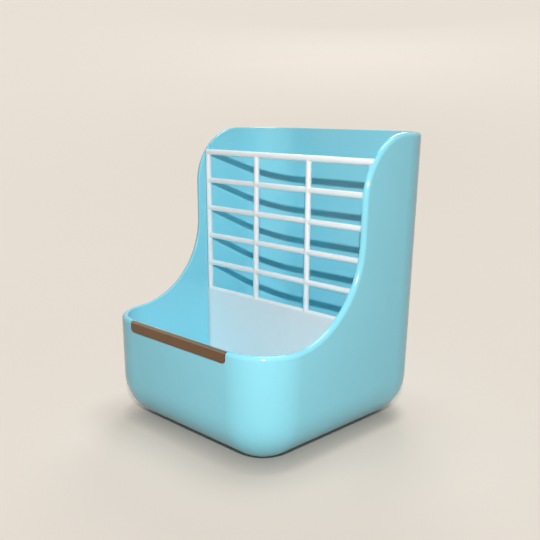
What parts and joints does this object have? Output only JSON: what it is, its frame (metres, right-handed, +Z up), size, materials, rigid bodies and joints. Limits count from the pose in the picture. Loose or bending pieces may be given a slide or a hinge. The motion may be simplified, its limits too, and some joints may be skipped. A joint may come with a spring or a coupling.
{
  "type": "hay feeder box",
  "caption": "Hay feeder box: drafted tub with a food bowl in front, a hay compartment behind a lift-out barred grid, a folded steel edge guard and cage hooks on the back.",
  "frame": {"origin": "centre of the flat base, on the surface that the box stands on", "axes": "+Z up; -Y towards the food bowl, +Y towards the hooks on the back; X across the box, which is symmetric left to right"},
  "size_m": [0.1478, 0.159, 0.18],
  "materials": {
    "housing_plastic": "glossy injection-moulded plastic",
    "grid_plastic": "satin white injection-moulded plastic",
    "guard_steel": "bronze-toned stainless sheet, polished, with fine rolling lines"
  },
  "bodies": {
    "housing": {"housing": "housing_plastic", "edge_guard": "guard_steel"},
    "grid": {"hay_grid": "grid_plastic"}
  },
  "joints": [
    {"name": "grid_lift", "type": "slide", "parent": "housing", "child": "grid", "axis": [0, 0, 1], "range_m": [0, 0.18]}
  ]
}
